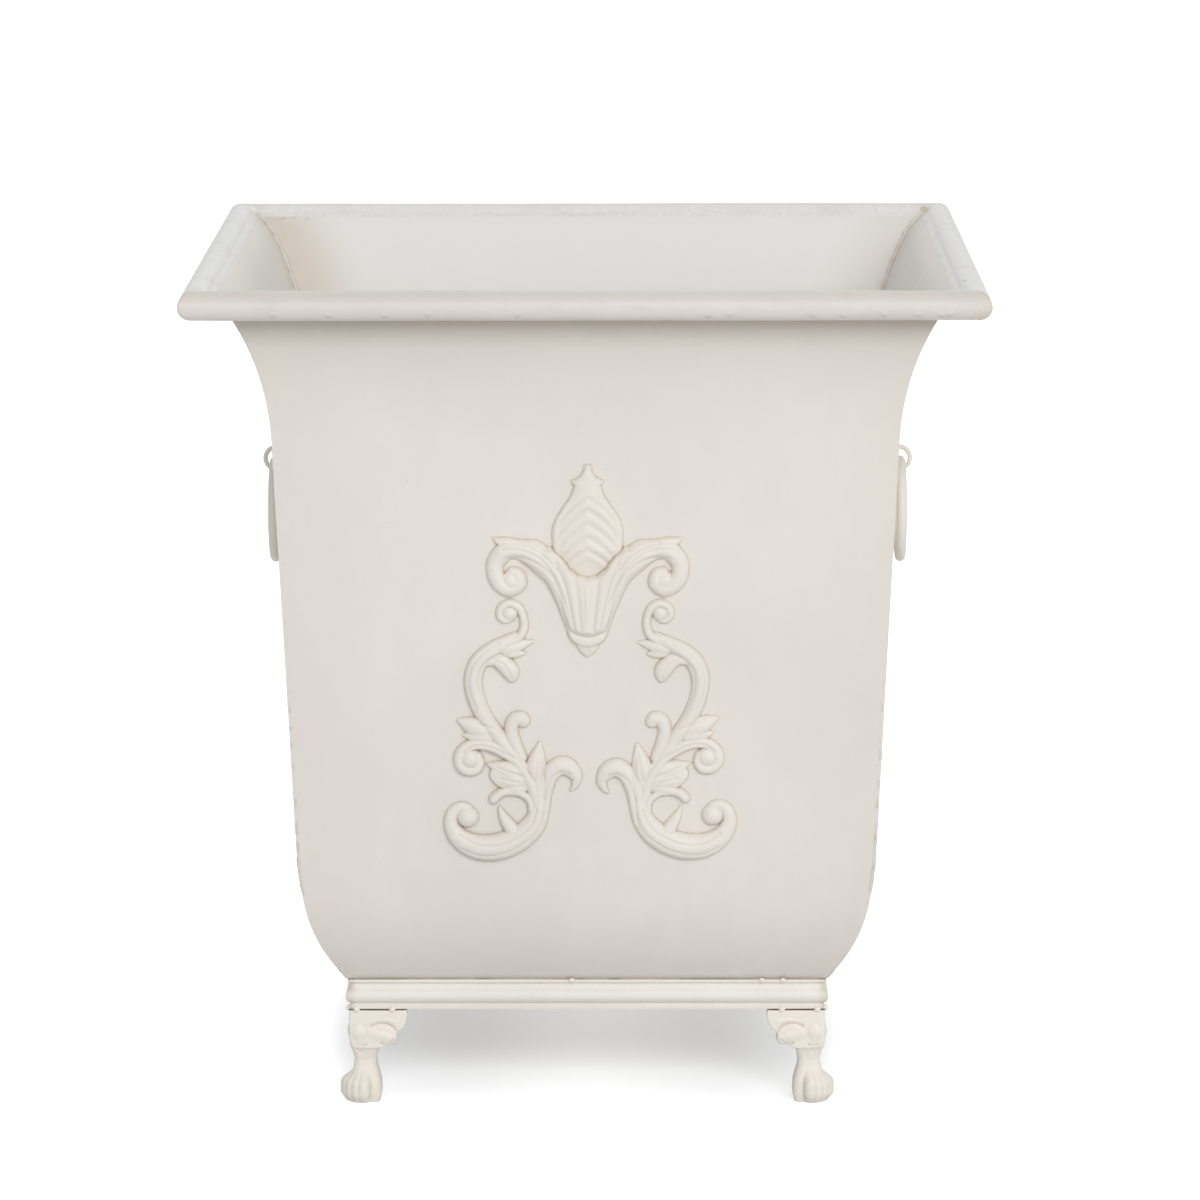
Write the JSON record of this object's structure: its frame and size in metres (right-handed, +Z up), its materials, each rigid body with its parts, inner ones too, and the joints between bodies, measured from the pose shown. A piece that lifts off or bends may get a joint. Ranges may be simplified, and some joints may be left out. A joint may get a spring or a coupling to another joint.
{
  "type": "planter",
  "caption": "Square footed sheet-metal planter with a flared tube rim, ring handles, scroll ornaments on the front, a moulded base trim and paw feet.",
  "frame": {"origin": "centre of the footprint on the floor", "axes": "+Z up, the ornamented front faces -Y, +X to the viewer's right"},
  "size_m": [0.406, 0.406, 0.436],
  "materials": {
    "body_paint": "cream paint, satin, lightly aged",
    "moulding_paint": "cream paint, satin, rubbed on the edges",
    "casting_paint": "warm cream paint with an antique wash in the hollows",
    "handle_paint": "cream paint worn to beige",
    "ornament_paint": "cream paint with a tan antique wash in the hollows"
  },
  "bodies": {
    "planter": {"front_wall": "body_paint", "back_wall": "body_paint", "left_wall": "body_paint", "right_wall": "body_paint", "bottom_plate": "body_paint", "rim_tube_front": "moulding_paint", "rim_tube_back": "moulding_paint", "rim_tube_left": "moulding_paint", "rim_tube_right": "moulding_paint", "corner_seam_front_left": "body_paint", "corner_seam_front_right": "body_paint", "corner_seam_back_left": "body_paint", "corner_seam_back_right": "body_paint", "trim_front": "moulding_paint", "trim_back": "moulding_paint", "trim_left": "moulding_paint", "trim_right": "moulding_paint", "foot_front_left": "casting_paint", "foot_front_right": "casting_paint", "foot_back_left": "casting_paint", "foot_back_right": "casting_paint", "foot_solder_tacks": "casting_paint", "trim_solder_tacks": "casting_paint", "handle_eye_left": "handle_paint", "handle_eye_right": "handle_paint", "palmette_ornament": "ornament_paint", "spray_ornament_left": "ornament_paint", "spray_ornament_right": "ornament_paint"},
    "ring_left": {"handle_ring_left": "handle_paint"},
    "ring_right": {"handle_ring_right": "handle_paint"}
  },
  "joints": [
    {"name": "ring_left_swing", "type": "hinge", "parent": "planter", "child": "ring_left", "pos_m": [-0.16674, 0, 0.31972], "axis": [0, 1, 0], "range_deg": [-9, 183]},
    {"name": "ring_right_swing", "type": "hinge", "parent": "planter", "child": "ring_right", "pos_m": [0.16674, 0, 0.31972], "axis": [0, -1, 0], "range_deg": [-9, 183]}
  ]
}
